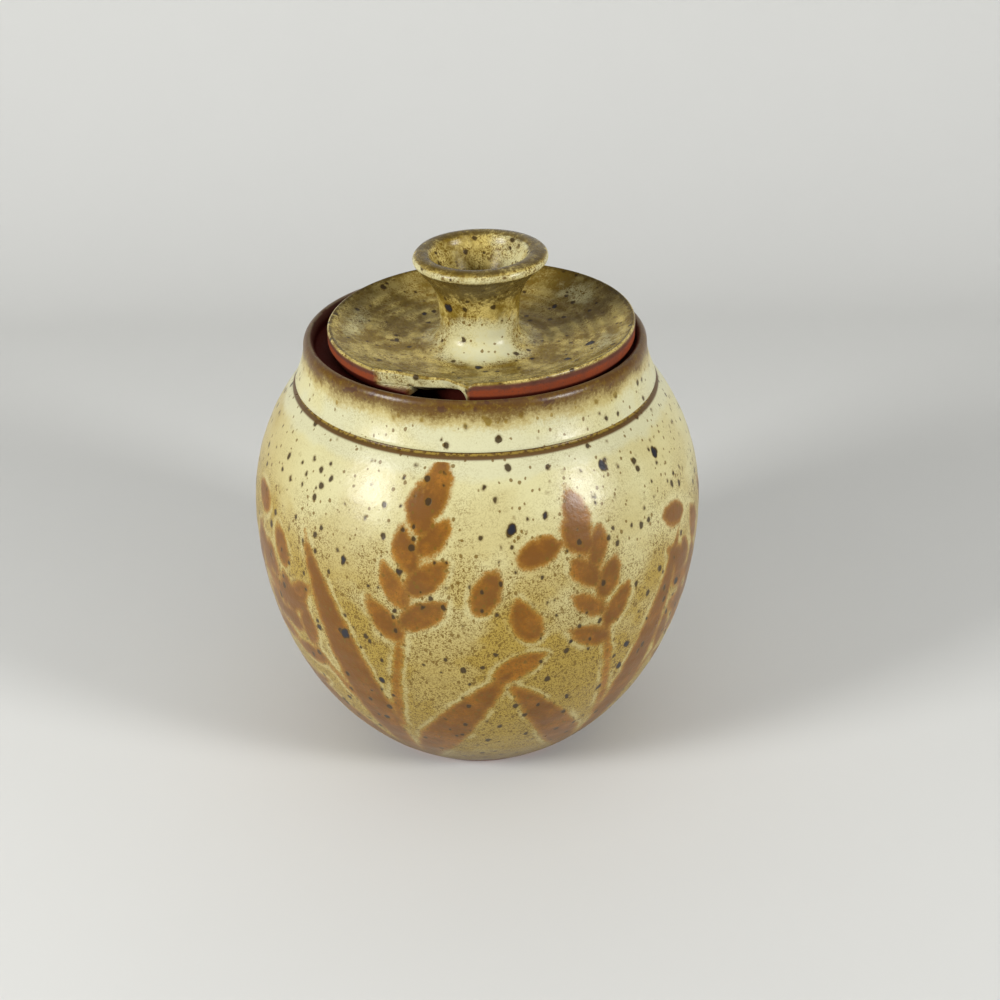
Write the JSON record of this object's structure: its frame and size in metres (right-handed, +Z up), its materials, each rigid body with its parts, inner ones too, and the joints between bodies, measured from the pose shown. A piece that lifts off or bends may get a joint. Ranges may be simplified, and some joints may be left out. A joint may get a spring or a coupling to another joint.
{
  "type": "honey pot",
  "caption": "Round-bellied stoneware honey pot with a dished lift-off lid, a hollow trumpet knob and a spoon notch in the lid's edge.",
  "frame": {"origin": "centre of the underside of the foot, on the pot's turning axis", "axes": "+Z up along the turning axis; -Y towards the viewer of the picture, who sees the spoon notch at the front left (towards -X); +X to the viewer's right"},
  "size_m": [0.108, 0.108, 0.1256],
  "materials": {
    "pot_glaze": "satin yellow-cream ash glaze with iron specks, brushed rust-brown iron decoration, bare red-brown stoneware at foot and gallery",
    "lid_glaze": "satin olive-cream ash glaze with iron specks, bare orange-red stoneware edge and seat"
  },
  "bodies": {
    "pot": {"pot_body": "pot_glaze"},
    "lid": {"lid": "lid_glaze"}
  },
  "joints": [
    {"name": "lid_lift", "type": "slide", "parent": "pot", "child": "lid", "axis": [0, 0, 1], "range_m": [0, 0.1]}
  ]
}
